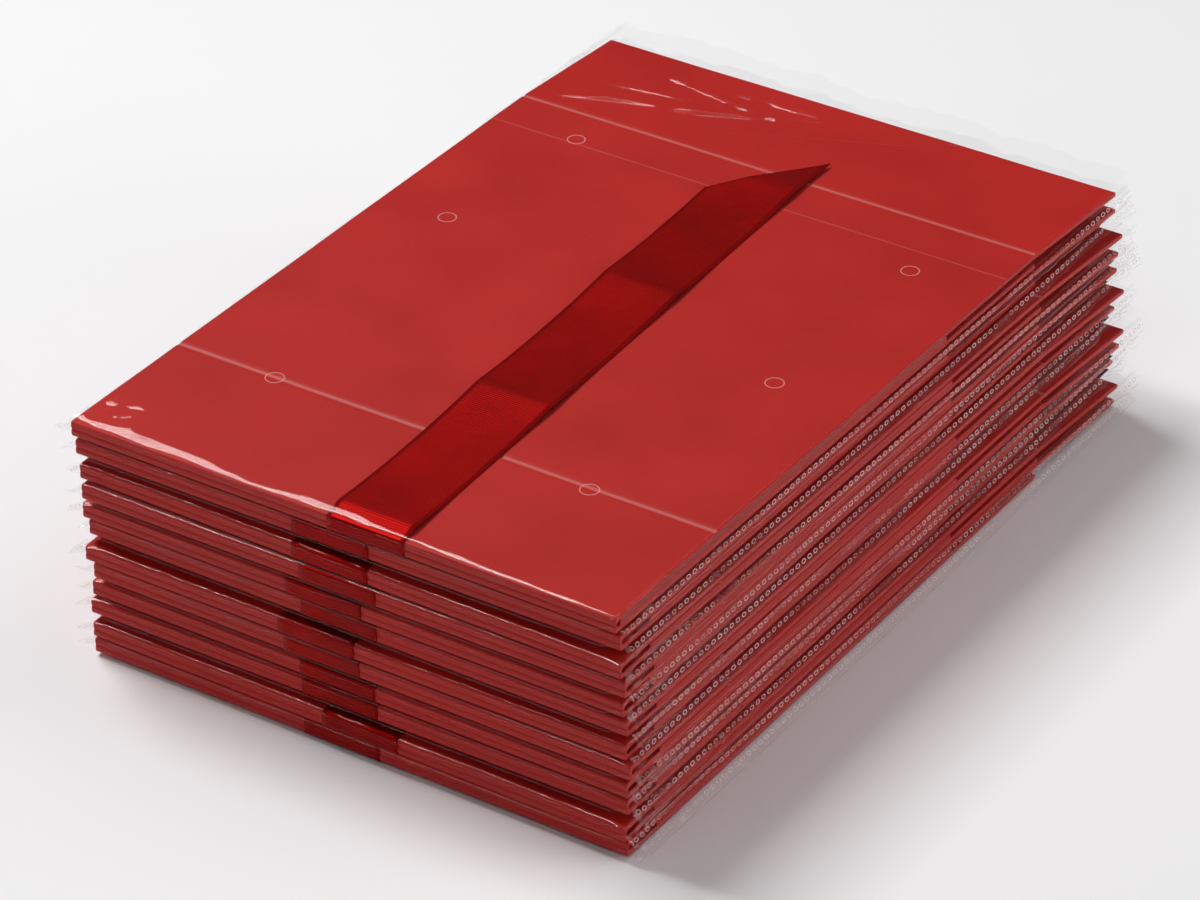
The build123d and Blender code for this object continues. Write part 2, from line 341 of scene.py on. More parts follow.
def score_line_mask(tree):
    """Share of pale colour painted along the fold lines, and of the painted highlight of the crease before
    the back fold, only on the faces that lie flat.
    """
    plan_y = node(tree, SPLIT, {0: node(tree, UV_MAP, uv_map="plan")}, out=1)
    up = node(tree, SPLIT, {0: node(tree, GEOMETRY, out="True Normal")}, out=2)
    flat = node(tree, MATH, {0: up, 1: 0.8}, operation="GREATER_THAN")
    pale = 0.0
    for place, half_width, share in PALE_LINES:
        line = node(tree, MATH, {0: plan_y, 1: place, 2: half_width}, operation="COMPARE")
        pale = node(tree, MATH, {0: line, 1: share, 2: pale}, operation="MULTIPLY_ADD")
    return node(tree, MATH, {0: pale, 1: flat}, operation="MULTIPLY")


def cover_paper_material(colour):
    """Dyed art paper glued on greyboard: satin, with a faint fibre tooth and cloudy pressure marks."""
    material, tree = new_material("Dyed cover paper")
    cloud = node(tree, NOISE, {"Vector": mm_coords(tree, 60), "Scale": 1.0, "Detail": 3.0})
    tooth = node(tree, NOISE, {"Vector": mm_coords(tree, 0.9), "Scale": 1.0, "Detail": 4.0})
    tone = node(tree, RANGE, {"Value": cloud, **NOISE_SPAN, "To Min": 0.92, "To Max": 1.06})
    grain = node(tree, RANGE, {"Value": tooth, **NOISE_SPAN, "To Min": 0.95, "To Max": 1.05})
    both = node(tree, MATH, {0: tone, 1: grain}, operation="MULTIPLY")
    tint = node(tree, VECTOR, {0: (*colour,), "Scale": both}, operation="SCALE")
    # pale colour painted along the fold lines, and a painted highlight of a crease near the back fold
    tint = node(tree, MIX, {"Factor": score_line_mask(tree), "A": tint, "B": linear("d98f88")}, out=2,
                data_type="RGBA")
    rough = node(tree, RANGE, {"Value": cloud, **NOISE_SPAN, "To Min": 0.52, "To Max": 0.62})
    bump = node(tree, BUMP, {"Height": tooth, "Strength": 0.25, "Distance": 0.05 * MM})
    return finish_material(material, node(tree, PRINCIPLED, {
        "Base Color": tint, "Roughness": rough, "IOR": 1.5, "Specular IOR Level": 0.3, "Normal": bump}))


def greyboard_material():
    """Pressed recycled greyboard: matte grey-brown with dark and pale fibre specks."""
    material, tree = new_material("Recycled greyboard")
    fibre = node(tree, NOISE, {"Vector": mm_coords(tree, 1.2), "Scale": 1.0, "Detail": 5.0})
    tint = node(tree, MIX, {"Factor": fibre, "A": linear("8d857a"), "B": linear("b3aca0")}, out=2,
                data_type="RGBA")
    bump = node(tree, BUMP, {"Height": fibre, "Strength": 0.4, "Distance": 0.1 * MM})
    return finish_material(material, node(tree, PRINCIPLED, {
        "Base Color": tint, "Roughness": 0.9, "Normal": bump}))


def ribbon_material(colour):
    """Woven polyester grosgrain: ribs across the width and a silky sheen. The ribs are drawn 1.3 mm apart,
    coarser than the real 0.8 mm, so that they show;
    their colour is a painted shade, darker in the troughs and lighter on the crests, by the same height as
    their bump."""
    material, tree = new_material("Grosgrain ribbon")
    rib_pitch = 1.3
    plan = node(tree, UV_MAP, uv_map="plan")
    turns = node(tree, MATH, {0: node(tree, SPLIT, {0: plan}, out=1), 1: 2 * math.pi / rib_pitch},
                 operation="MULTIPLY")
    rib = node(tree, MATH, {0: turns}, operation="SINE")
    stretched = node(tree, "ShaderNodeMapping", {"Vector": plan, "Scale": (0.25, 1.6, 1.0)})
    thread = node(tree, NOISE, {"Vector": stretched, "Scale": 1.0, "Detail": 3.0})
    height = node(tree, MATH, {0: rib, 1: thread}, operation="ADD")
    # painted shade: the colour darkens in the rib troughs and lightens on the crests, following the bump's
    # height
    shade = node(tree, RANGE, {"Value": height, "From Min": -0.6, "From Max": 1.6, "To Min": 0.78,
                               "To Max": 1.15})
    cloud = node(tree, NOISE, {"Vector": mm_coords(tree, 25), "Scale": 1.0, "Detail": 2.0})
    soft = node(tree, RANGE, {"Value": cloud, **NOISE_SPAN, "To Min": 0.88, "To Max": 1.1})
    shade = node(tree, MATH, {0: shade, 1: soft}, operation="MULTIPLY")
    tint = node(tree, VECTOR, {0: (*colour,), "Scale": shade}, operation="SCALE")
    bump = node(tree, BUMP, {"Height": height, "Strength": 0.5, "Distance": 0.12 * MM})
    # the lobe is part metal, because the shine of dyed yarn takes the dye's colour
    return finish_material(material, node(tree, PRINCIPLED, {
        "Base Color": tint, "Metallic": 0.6, "Roughness": 0.43, "Specular IOR Level": 0.05, "Normal": bump}))


def band(tree, value, middle, reach):
    """1 where the value is at the middle, falling straight to 0 at the reach on either side."""
    off = node(tree, MATH, {0: value, 1: middle}, operation="SUBTRACT")
    off = node(tree, MATH, {0: off}, operation="ABSOLUTE")
    return node(tree, MATH, {0: off, 1: -1 / reach, 2: 1.0}, operation="MULTIPLY_ADD", use_clamp=True)


def weld_mask(tree, film, out_x, y):
    """The seams' real weld dots as a row of oval rings, their pale rims a painted highlight that comes and
    goes along the seam.
    """
    pitch = film.weld_pitch / MM
    turns = node(tree, MATH, {0: y, 1: pitch}, operation="DIVIDE")
    turns = node(tree, MATH, {0: turns}, operation="FRACT")
    along = node(tree, MATH, {0: turns, 1: pitch, 2: -pitch / 2}, operation="MULTIPLY_ADD")
    side = node(tree, MATH, {0: out_x, 1: FILM_HALF + WELD_OUT}, operation="SUBTRACT")
    place = node(tree, "ShaderNodeCombineXYZ", {0: along, 1: side})
    place = node(tree, VECTOR, {0: place, 1: (*WELD_HALF_SIZE, 1.0)}, operation="DIVIDE")
    oval = node(tree, VECTOR, {0: place}, out="Value", operation="LENGTH")
    fade = node(tree, NOISE, {"Vector": mm_coords(tree, 26), "Scale": 1.0, "Detail": 1.0})
    fade = node(tree, MATH, {0: fade, 1: 2.6, 2: -0.6}, operation="MULTIPLY_ADD", use_clamp=True)
    return node(tree, MATH, {0: band(tree, oval, 0.85, 0.22), 1: fade}, operation="MULTIPLY")


def weld_and_highlight_mask(tree, film):
    """Where the film gets a pale painted highlight: round its weld dots, on the rims of its vents, along its
    cut edges and along its pressed fold.
    """
    plan = node(tree, UV_MAP, uv_map="plan")
    out_x = node(tree, MATH, {0: node(tree, SPLIT, {0: plan})}, operation="ABSOLUTE")
    y = node(tree, SPLIT, {0: plan}, out=1)
    masks = [(weld_mask(tree, film, out_x, y), 0.85)]
    # painted highlight round the rim of each vent
    for vent in VENTS:
        off = node(tree, VECTOR, {0: plan, 1: (*vent, 0)}, out="Value", operation="DISTANCE")
        masks.append((band(tree, off, film.vent_radius / MM + 0.25, 0.4), 0.45))
    # painted highlight along the seams' cut edges and along the near fold: each of these two is 0 up to a
    # place, then rises to 1 over a short ramp
    for value, way, start, ramp in ((out_x, 1, FILM_HALF + SEAM_WIDTH - 0.5, 0.3),
                                    (y, -1, FILM_NEAR - FOLD_PLAN + 0.5, 0.4)):
        masks.append((node(tree, MATH, {0: value, 1: way / ramp, 2: -way * start / ramp},
                           operation="MULTIPLY_ADD", use_clamp=True), 0.12))
    weld_and_highlight = 0.0
    for mask, share in masks:
        weld_and_highlight = node(tree, MATH, {0: mask, 1: share, 2: weld_and_highlight}, operation="MULTIPLY_ADD", use_clamp=True)
    return weld_and_highlight


def film_material(film):
    """Cast polypropylene film, 0.05 mm: clear, with a mirror-like skin that grows towards grazing angles, and
    a pale painted highlight along its cut edges, near fold, vent rims and weld dots. The mirror part is a
    smooth metal lobe mixed in."""
    material, tree = new_material("Clear film")
    # fine creases, which bend the skin
    crease = node(tree, NOISE, {"Vector": mm_coords(tree, 22), "Scale": 1.0, "Detail": 3.0, "Roughness": 0.45,
                                "Distortion": 0.4})
    bump = node(tree, BUMP, {"Height": crease, "Strength": 0.25, "Distance": 0.5 * MM})
    # share that mirrors: 0.3 to 3.5% face on, rising with the fifth power of the facing angle, alike from
    # both sides; the slack sides break into fine glints, so their veil is weaker than the taut top's
    facing = node(tree, "ShaderNodeLayerWeight", {"Blend": 0.5, "Normal": bump}, out="Facing")
    grazing = node(tree, MATH, {0: facing, 1: 5.0}, operation="POWER")
    up = node(tree, SPLIT, {0: node(tree, GEOMETRY, out="True Normal")}, out=2)
    level = node(tree, MATH, {0: up, 1: up}, operation="MULTIPLY")
    face_on = node(tree, MATH, {0: level, 1: 0.032, 2: 0.003}, operation="MULTIPLY_ADD")
    mirror = node(tree, MATH, {0: grazing, 1: 0.12, 2: face_on}, operation="MULTIPLY_ADD", use_clamp=True)
    skin = node(tree, PRINCIPLED, {"Base Color": (1, 1, 1, 1), "Metallic": 1.0, "Roughness": 0.1,
                                   "Normal": bump})
    clear = node(tree, "ShaderNodeBsdfTransparent", {"Color": (0.995, 0.995, 0.995, 1)})
    glossy = node(tree, MIX_SHADERS, {0: mirror, 1: clear, 2: skin})
    # pale pinkish shader laid on as a painted highlight wherever the mask says
    painted_highlight = node(tree, PRINCIPLED, {"Base Color": linear("f0d6d2"), "Roughness": 0.35})
    return finish_material(material, node(tree, MIX_SHADERS, {0: weld_and_highlight_mask(tree, film), 1: glossy, 2: painted_highlight}))


def metal_material(name, hex_code, roughness):
    """Nickel-plated magnet or zinc-plated steel plate: a clean metal with a faint brushed variation."""
    material, tree = new_material(name)
    brushed = node(tree, NOISE, {"Vector": mm_coords(tree, 0.6), "Scale": 1.0, "Detail": 3.0})
    rough = node(tree, RANGE, {"Value": brushed, "To Min": roughness - 0.06, "To Max": roughness + 0.08})
    return finish_material(material, node(tree, PRINCIPLED, {
        "Base Color": linear(hex_code), "Metallic": 1.0, "Roughness": rough}))


def tape_material():
    """Red polyester release liner over adhesive: smooth and glossy with a faint crinkle."""
    material, tree = new_material("Red release liner")
    crinkle = node(tree, NOISE, {"Vector": mm_coords(tree, 3), "Scale": 1.0, "Detail": 3.0})
    tint = node(tree, MIX, {"Factor": crinkle, "A": linear("9c1a14"), "B": linear("a9221b")}, out=2,
                data_type="RGBA")
    bump = node(tree, BUMP, {"Height": crinkle, "Strength": 0.2, "Distance": 0.1 * MM})
    return finish_material(material, node(tree, PRINCIPLED, {
        "Base Color": tint, "Roughness": 0.35, "Normal": bump}))


MATERIALS = {}


def get_material(key):
    """Each finish is made once, when the first piece asks for it."""
    props = settings()
    makers = {
        "paper": lambda: cover_paper_material(props.box.paper_red),
        "board": greyboard_material,
        "ribbon": lambda: ribbon_material(props.ribbon.ribbon_red),
        "film": lambda: film_material(props.film),
        "magnet": lambda: metal_material("Nickel-plated magnet", "c9c8c4", 0.28),
        "steel": lambda: metal_material("Zinc-plated steel", "b4b7ba", 0.36),
        "tape": tape_material,
    }
    if key not in MATERIALS:
        MATERIALS[key] = makers[key]()
    return MATERIALS[key]


# ---- boxes

def flap_turn(y, z):
    """Turns section points beyond the back score down by the flap's droop, about its inner fold."""
    past = np.maximum(y - SCORE_BACK, 0)
    beyond = y > SCORE_BACK
    rise = z - UPPER_INNER
    sin, cos = math.sin(FLAP_DROOP), math.cos(FLAP_DROOP)
    return (np.where(beyond, SCORE_BACK + past * cos + rise * sin, y),
            np.where(beyond, UPPER_INNER - past * sin + rise * cos, z))


def score(y, place, depth):
    """A fold line's dip: a bell curve about 3 mm wide."""
    return depth * np.exp(-((y - place) / 1.35) ** 2)


def leaf_stations(start, end, scores):
    """Places along a leaf: about every 12 mm, and closely round each fold line."""
    near = np.array([-4.0, -3.0, -2.2, -1.6, -1.1, -0.55, 0.0, 0.55, 1.1, 1.6, 2.2, 3.0, 4.0])
    places = [np.linspace(start, end, int((end - start) / 12) + 2)]
    places += [near + place for place in scores]
    joined = np.unique(np.round(np.concatenate(places), 3))
    return joined[(joined >= start) & (joined <= end)]


def cover_section(number):
    """Outer and inner section points, in pairs, of the cover sheet with its boards: lower leaf from its free
    edge to the hinge edge, round the hinge with its crease, then the top leaf to the flap's free edge."""
    depth = settings().box.score_depth / MM
    rise = lean(number)
    half = LEAF_THICK / 2
    cap_sin, cap_cos = squircle(np.linspace(np.pi / 2, 0, 7), 0.45)
    outer, inner = [], []

    def add(outer_points, inner_points):
        outer.append(np.stack(outer_points, 1))
        inner.append(np.stack(inner_points, 1))

    # free edge of the front wall
    middle = COVER_LOW + half
    reach = SCORE_BACK - half + half * cap_sin
    add((reach, middle - half * cap_cos), (reach, middle + half * cap_cos))
    # lower leaf
    y = leaf_stations(INNER_START, SCORE_BACK - half - 0.2, [BOX_DEPTH])[::-1]
    bend = rise * nose_fade(y)
    add((y, COVER_LOW + score(y, BOX_DEPTH, depth) + bend), (y, LOWER_INNER + bend))
    # hinge edge: a quarter turn, a crease at half height, another quarter turn
    turn = np.linspace(0, np.pi / 2, 7)[1:]
    radius = NOSE_RADIUS
    low, high = COVER_LOW + rise, COVER_HIGH + rise
    crease = (low + high) / 2
    nose_y = np.concatenate([radius * (1 - np.sin(turn)), [0.0, 0.25, 0.5, 0.25, 0.0],
                             radius * (1 - np.cos(turn))])
    nose_z = np.concatenate([low + radius * (1 - np.cos(turn)), crease + np.array([-1.0, -0.4, 0, 0.4, 1.0]),
                             high - radius * (1 - np.sin(turn))])
    t = np.linspace(0, 1, len(nose_y))
    inner_low, inner_high = LOWER_INNER + rise, UPPER_INNER + rise
    add((nose_y, nose_z), (INNER_START - 1.4 * np.sin(np.pi * t), inner_low + (inner_high - inner_low) * t))
    # top leaf
    y = leaf_stations(INNER_START, BOX_LENGTH - half - 0.2, [SCORE_FRONT, SCORE_BACK])
    dip = score(y, SCORE_FRONT, depth) + score(y, SCORE_BACK, depth)
    bend = rise * nose_fade(y)
    add(flap_turn(y, COVER_HIGH - dip + bend), flap_turn(y, UPPER_INNER + bend))
    # free edge of the flap
    middle = (COVER_HIGH + UPPER_INNER) / 2
    upper_half = (COVER_HIGH - UPPER_INNER) / 2
    reach = BOX_LENGTH - half + half * cap_sin[::-1]
    add(flap_turn(reach, middle + upper_half * cap_cos[::-1]),
        flap_turn(reach, middle - upper_half * cap_cos[::-1]))
    return np.concatenate(outer), np.concatenate(inner)


def edge_stations(half, radius, inner_count):
    """Places across a slab and how full its thickness is there: full, then a rounded edge, then closed."""
    sin, cos = squircle(np.linspace(0, np.pi / 2, 6), 0.6)
    right = np.stack([half - radius + radius * sin, 1 - (1 - cos) * radius / (LEAF_THICK / 2)], 1)
    right = np.concatenate([right, [[half, 0.0]]])
    left = right[::-1] * [-1, 1]
    middle = np.stack([np.linspace(-half + radius, half - radius, inner_count)[1:-1],
                       np.ones(inner_count - 2)], 1)
    return np.concatenate([left, middle, right])


def cover_grid(number):
    """The C-shaped cover section carried across x; at each long edge it closes onto its own middle line."""
    outer, inner = cover_section(number)
    loop = np.concatenate([outer, inner[::-1]])
    core = np.concatenate([(outer + inner) / 2, ((outer + inner) / 2)[::-1]])
    stations = edge_stations(HALF, settings().box.edge_radius / MM, 22)
    fill = stations[:, 1][:, None, None]
    section = core + (loop - core) * fill
    rng = np.random.default_rng(400 + number)
    bow = 0.10 * smooth_noise(section[..., 0] + stations[:, 0][:, None], rng, 4, 170.0)
    x = np.broadcast_to(stations[:, 0][:, None], bow.shape)
    points = np.stack([x, section[..., 0], section[..., 1] + bow * (1 - nose_fade(section[..., 0]))], -1)
    plan = np.stack([x, section[..., 0]], -1)
    return points, quads(len(stations), len(loop), wrap=True), plan


def slab_grid(x_span, y_places, z_low, z_high, follow, radius=0.5, droop=False):
    """A flat slab with rounded edges: a rounded-rectangle section across x and z carried along y and closed
    at both ends by shrinking onto its middle line. follow gives its rise at each y."""
    angle = np.linspace(0, 2 * np.pi, 32, endpoint=False) + np.pi / 32
    corner_x = np.sign(np.cos(angle)) * np.abs(np.cos(angle)) ** 0.25
    corner_z = np.sign(np.sin(angle)) * np.abs(np.sin(angle)) ** 0.25
    middle_x, half_x = sum(x_span) / 2, (x_span[1] - x_span[0]) / 2
    middle_z, half_z = (z_low + z_high) / 2, (z_high - z_low) / 2
    ends = np.array([0.0, 0.15, 0.5, 1.0]) * radius
    y = np.concatenate([[y_places[0]], y_places[0] + ends, y_places[1:-1], y_places[-1] - ends[::-1],
                        [y_places[-1]]])
    fill = np.concatenate([[0.0], np.array([0.55, 0.8, 0.93, 1.0]), np.ones(len(y_places) - 2),
                           np.array([1.0, 0.93, 0.8, 0.55]), [0.0]])[:, None]
    edge = 1 - radius * (1 - fill) / half_x
    x = middle_x + half_x * corner_x[None] * edge
    z = middle_z + half_z * corner_z[None] * fill + follow(y)[:, None]
    y_grid = np.broadcast_to(y[:, None], x.shape)
    if droop:
        y_grid, z = flap_turn(y_grid, z)
    points = np.stack([x, y_grid, z], -1)
    return points, quads(len(y), len(angle), wrap=True), np.stack([x, y_grid], -1)


def wall_grids(number):
    """The two side walls folded in over the base, and the strip of cover paper that hinges each."""
    def follow(y):
        return lean(number) * nose_fade(y)

    grids = []
    # the top pack's walls cover its separate wall boards, which start closer to the hinge edge
    places = np.linspace(3.5 if number == PACKS else 22.0, BOX_DEPTH - 3.0, 22)
    for side in (-1, 1):
        wall = sorted((side * (HALF - 0.1), side * (HALF - WALL_HEIGHT)))
        strip = sorted((side * HALF, side * (HALF - 0.6)))
        grids.append(slab_grid(wall, places, WALL_LOW, WALL_HIGH, follow))
        grids.append(slab_grid(strip, places, COVER_LOW + 0.8, WALL_HIGH - 0.5, follow, radius=0.25))
    return grids


def build_box_cover(number):
    points, faces, plan = cover_grid(number)
    grids = [(to_stack(p, number), f, u) for p, f, u in [(points, faces, plan), *wall_grids(number)]]
    name = "cover_paper" if number == PACKS else f"papers_{number:02d}"
    piece = add_piece(f"{name}_wrap", grids, "paper", f"box_{number:02d}")
    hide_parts(name)
    return piece


def build_boards(number):
    """Greyboard of a lower pack: seven boards that follow their leaf's lean at the hinge edge."""
    rise = lean(number)
    base, lid = COVER_LOW + 0.25, UPPER_INNER + 0.25
    wide = (-HALF + 0.6, HALF - 0.6)

    def follow(y):
        return rise * nose_fade(y)

    thick = LEAF_THICK - 0.5
    gap = 1.5
    # start, end, stations and level of the base, front wall, spine, lid and flap boards
    spans = ((2.8, BOX_DEPTH - gap, 24, base), (BOX_DEPTH + gap, SCORE_BACK - 1, 8, base),
             (2.8, SCORE_FRONT - gap, 10, lid), (SCORE_FRONT + gap, SCORE_BACK - gap, 24, lid),
             (SCORE_BACK + gap, BOX_LENGTH - 1, 8, lid))
    grids = [slab_grid(wide, np.linspace(start, end, count), level, level + thick, follow,
                       droop=start > SCORE_BACK) for start, end, count, level in spans]
    places = np.linspace(24, BOX_DEPTH - 5, 20)
    for side in (-1, 1):
        wall = sorted((side * (HALF - 0.8), side * (HALF - WALL_HEIGHT + 0.8)))
        grids.append(slab_grid(wall, places, WALL_LOW + 0.3, WALL_HIGH - 0.3, follow))
    name = f"boards_{number:02d}"
    grids = [(to_stack(p, number), f, u) for p, f, u in grids]
    piece = add_piece(f"{name}_set", grids, "board", f"box_{number:02d}")
    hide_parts(name)
    return piece


TOP_NODES = {
    "base_board": "board", "front_wall_board": "board", "left_wall_board": "board",
    "right_wall_board": "board", "spine_board": "board", "lid_board": "board", "flap_board": "board",
    "lower_lining": "paper", "upper_lining": "paper", "flap_magnets": "magnet", "wall_plates": "steel",
    "corner_tapes": "tape",
}


def finish_top_nodes():
    """The top pack's rigid pieces keep their CAD shape and get their real finish."""
    for name, key in TOP_NODES.items():
        mesh = frame["nodes"][name].data
        mesh.materials.clear()
        mesh.materials.append(get_material(key))


# ---- ribbons

TOP_RUN, TIP_RUN, UNDER_RUN = 310.0, 50.0, 300.0
CREASE_START, CREASE_PITCH = 9.0, 106.5
RIBBON_GAP = 0.05
RIBBON_LEAN = math.tan(math.radians(2.5))


def ribbon_path(number, lengths):
    """Centre line of each lengthwise thread: under the base, round the hinge edge, then along the top.
    lengths is the top run of each thread. Returns y, z and the running length, one row per thread."""
    rise = lean(number)
    props = settings().ribbon
    gap = RIBBON_GAP + props.thickness / MM / 2
    low, high = COVER_LOW - gap, COVER_HIGH + gap
    under_y = np.linspace(UNDER_RUN, 2.0, 46)
    under_z = low + rise * nose_fade(under_y)
    turn = np.linspace(0, np.pi / 2, 7)[1:]
    radius = NOSE_RADIUS + gap
    nose_low, nose_high = low + rise, high + rise
    nose_y = np.concatenate([radius * (1 - np.sin(turn)), [0.0] * 3, radius * (1 - np.cos(turn))]) - gap
    nose_z = np.concatenate([nose_low + radius * (1 - np.cos(turn)),
                             np.linspace(nose_low + radius, nose_high - radius, 5)[1:-1],
                             nose_high - radius * (1 - np.sin(turn))])
    t = np.linspace(0, 1, 200)[1:]
    top_y = 1.5 + (lengths[:, None] - 1.5) * t[None]
    # creases where it was folded for storage, with a sag between them
    wave = props.wave / MM if number == PACKS else 0.0
    share = (top_y - CREASE_START) / CREASE_PITCH % 1
    lift = wave * np.sqrt((2 * share - 1) ** 4 + 0.004) * smooth_step(top_y, 1.5, 9)
    top_z = high + rise * nose_fade(top_y) + lift
    rows = len(lengths)
    y = np.concatenate([np.tile(under_y, (rows, 1)), np.tile(nose_y, (rows, 1)), top_y], 1)
    z = np.concatenate([np.tile(under_z, (rows, 1)), np.tile(nose_z, (rows, 1)), top_z], 1)
    step = np.hypot(np.diff(y, axis=1), np.diff(z, axis=1))
    run = np.concatenate([np.zeros((rows, 1)), np.cumsum(step, 1)], 1)
    return y, z, run


def build_ribbon(number):
    """A flat woven strip: lengthwise threads at even places across the width, each following ribbon_path and
    leaning towards -x along the top, with its slanting cut made by each thread's own length."""
    props = settings().ribbon
    width = props.width / MM
    across = np.linspace(-width / 2, width / 2, 15)
    lengths = TOP_RUN + TIP_RUN * (across + width / 2) / width
    y, z, run = ribbon_path(number, lengths)
    # the part round the hinge edge and below stays straight; the top run leans
    is_top = run > run[:, [51]]
    x = ribbon_shift(number) + across[:, None] - np.where(is_top, RIBBON_LEAN * np.maximum(y - 1.2, 0), 0.0)
    half = props.thickness / MM / 2
    fold = np.gradient(y, axis=1), np.gradient(z, axis=1)
    size = np.hypot(*fold)
    normal_y, normal_z = fold[1] / size, -fold[0] / size
    bead = 1 + 0.5 * np.exp(-((width / 2 - np.abs(across)) / 1.0) ** 2)[:, None]
    shells = [np.stack([x, y + side * bead * normal_y, z + side * bead * normal_z], -1)
              for side in (-half, half)]
    loop = np.concatenate([shells[0], shells[1][::-1]])
    plan = np.stack([np.broadcast_to(across[:, None], y.shape), run], -1)
    plan = np.concatenate([plan, plan[::-1]])
    loop, plan = loop.transpose(1, 0, 2), plan.transpose(1, 0, 2)
    core = (loop + loop[:, ::-1]) / 2
    loop = np.concatenate([core[:1], loop, core[-1:]])
    plan = np.concatenate([plan[:1], plan, plan[-1:]])
    grids = [(to_stack(loop, number), quads(len(loop), loop.shape[1], wrap=True), plan)]
    piece = add_piece(f"ribbon_{number:02d}_strip", grids, "ribbon", f"box_{number:02d}")
    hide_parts(f"ribbon_{number:02d}")
    return piece


# ---- film sleeves

# Along the sleeve: the finely wrinkled span over the flap, and where the open end starts to flutter
WRINKLED_START, WRINKLED_END = 336, 404
FLUTTER_START = 412


def with_marks(base, marks):
    """Base places with marks added; a base place within 1 mm of a mark gives way, except at the ends."""
    marks = np.unique(np.round(marks, 2))
    keep = np.abs(base[:, None] - marks[None]).min(1) > 1.0
    keep[[0, -1]] = True
    return np.unique(np.round(np.concatenate([base[keep], marks]), 3))


def vent_marks(axis):
    """Places that a grid needs to carry round holes: the middle of each vent and shares of its radius."""
    shares = np.array([-2.0, -1.5, -1.0, -0.5, 0.0, 0.5, 1.0, 1.5, 2.0]) * settings().film.vent_radius / MM
    return (np.array(VENTS)[:, axis][:, None] + shares).reshape(-1)


def round_the_vents(x, y):
    """Draws the grid's squares round each vent into circles: a point at a share s of the square's half side
    goes to the same share of the radius, fading out at twice the radius."""
    radius = settings().film.vent_radius / MM
    for vent_x, vent_y in VENTS:
        dx, dy = x - vent_x, y - vent_y
        square = np.maximum(np.abs(dx), np.abs(dy))
        circle = np.maximum(np.hypot(dx, dy), 1e-9)
        pull = np.clip(2 - square / radius, 0, 1) * (square / circle - 1)
        x, y = x + dx * pull, y + dy * pull
    return x, y


def open_vents(faces, x, y):
    """The faces whose middle isn't inside a vent."""
    radius = settings().film.vent_radius / MM
    mid_x, mid_y = x.reshape(-1)[faces].mean(1), y.reshape(-1)[faces].mean(1)
    keep = np.ones(len(faces), bool)
    for vent_x, vent_y in VENTS:
        keep &= np.hypot(mid_x - vent_x, mid_y - vent_y) > radius * 0.985
    return faces[keep]


def across_stations(middle_step):
    """Across a sleeve, from the left seam's edge to the right one's: resting x, how far the film has risen
    from the seam (0) to the panel (1), and the way out along the seam."""
    way = np.array([0.0, 0.5, 1.1, 1.9, 2.8, 3.7, 4.7, 5.9, SEAM_WIDTH])
    turn = np.linspace(0, np.pi / 2, 8)
    wall_x = FILM_HALF - 2.0 * (1 - np.cos(turn))
    wall_rise = np.sin(turn) ** 0.8
    sides = np.arange(112.0, 133.0, 1.6)
    flat = np.concatenate([-sides[::-1], np.arange(-112, 112.1, middle_step)[1:-1], sides])
    flat = with_marks(flat, vent_marks(0))
    half_x = np.concatenate([FILM_HALF + way[:0:-1], wall_x])
    half_rise = np.concatenate([np.zeros(len(way) - 1), wall_rise])
    half_way = np.concatenate([way[:0:-1], np.zeros(len(turn))])
    return (np.concatenate([-half_x, flat, half_x[::-1]]),
            np.concatenate([half_rise, np.ones(len(flat)), half_rise[::-1]]),
            np.concatenate([half_way, np.zeros(len(flat)), half_way[::-1]]))


def along_stations(step, back_step):
    """Along a sleeve, from the near fold to the mouth: resting y, how far the film has risen from the fold
    (0) to the panel (1), and its share of the shoulder that rounds the hinge edge."""
    turn = np.linspace(0, np.pi / 2, 10)[1:]
    upright = np.array([0.0, 0.04, 0.12, 0.25, 0.42, 0.6])
    shoulder = 1 - np.cos(turn)
    corner_y = np.concatenate([np.full(len(upright), FILM_NEAR), FILM_NEAR + 3.2 * shoulder])
    rise = np.concatenate([upright, 0.6 + 0.4 * np.sin(turn)])
    flat = np.concatenate([np.arange(3.6, 40, 1.8), np.arange(40, WRINKLED_START, step),
                           np.arange(WRINKLED_START, WRINKLED_END, back_step),
                           np.arange(WRINKLED_END, FILM_MOUTH, 2.2), [FILM_MOUTH]])
    flat = with_marks(flat, vent_marks(1))
    share = np.concatenate([np.zeros(len(upright)), shoulder, np.exp(-(flat - 2) / 7.0)])
    return np.concatenate([corner_y, flat]), np.concatenate([rise, np.ones(len(flat))]), share


def seam_hang(y, way, number, rng):
    """Outward and downward reach of the seams: from the wall they bend down within about 1.5 mm, to an angle
    that wanders along y, less at the hinge edge. The angle is summed along the way out, as a path is."""
    left, right = np.radians(34), np.radians(76)
    wander = [smooth_noise(y, rng, 5, 170.0) for _ in range(2)]
    ripple = [smooth_noise(y, rng, 3, 22.0) for _ in range(2)]
    corner = np.exp(-((y - FILM_NEAR) / 8.0) ** 2)
    tail = smooth_step(y, 372, 420)
    near_floor = 0.6 if number == 1 else 1.0
    reach = []
    for index, rest in enumerate((left, right)):
        angle = rest * (1 - 0.55 * corner) + np.radians(9 + 22 * tail) * wander[index]
        bend = 1 - np.exp(-way / 1.1)
        angle = near_floor * (angle * bend + np.radians(8 + 20 * tail) * ripple[index] * way / SEAM_WIDTH)
        step = np.abs(np.diff(way, axis=1))
        mean = (angle[:, 1:] + angle[:, :-1]) / 2
        out, down = np.cos(mean) * step, np.sin(mean) * step
        zero = np.zeros((len(y), 1))
        if index == 0:
            total = [np.concatenate([np.cumsum(part[:, ::-1], 1)[:, ::-1], zero], 1) for part in (out, down)]
        else:
            total = [np.concatenate([zero, np.cumsum(part, 1)], 1) for part in (out, down)]
        reach.append(total)
    return reach


